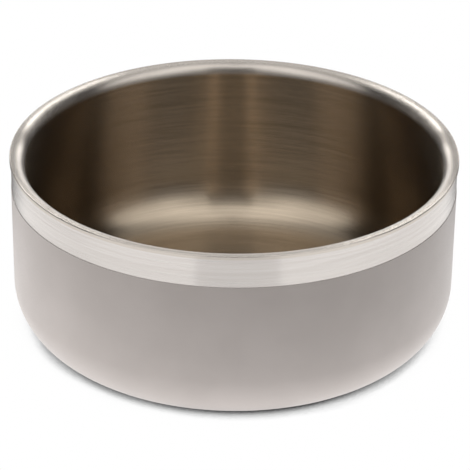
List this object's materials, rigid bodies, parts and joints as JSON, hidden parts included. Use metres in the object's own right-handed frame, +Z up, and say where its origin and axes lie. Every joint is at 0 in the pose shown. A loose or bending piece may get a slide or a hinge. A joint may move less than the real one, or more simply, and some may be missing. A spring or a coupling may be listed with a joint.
{
  "type": "dog bowl",
  "caption": "Round double-walled steel dog bowl with a rolled rim, bare band under the rim, warm grey coat, rounded foot and anti-slip ring.",
  "frame": {"origin": "on the bowl's axis, at the level that the anti-slip ring stands on", "axes": "+Z up along the bowl's axis; the bowl is the same all the way round, so +X and +Y are free"},
  "size_m": [0.2, 0.2, 0.088],
  "materials": {
    "bowl_steel": "brushed round the axis, satin",
    "shell_steel": "brushed round the axis, satin",
    "grey_coat": "satin powder coat, warm grey",
    "plate_steel": "plain mill finish",
    "ring_rubber": "matt moulded rubber"
  },
  "bodies": {
    "root": {"inner_bowl": "bowl_steel", "outer_shell": "shell_steel", "powder_coat": "grey_coat", "base_plate": "plate_steel", "anti_slip_ring": "ring_rubber"}
  },
  "joints": []
}
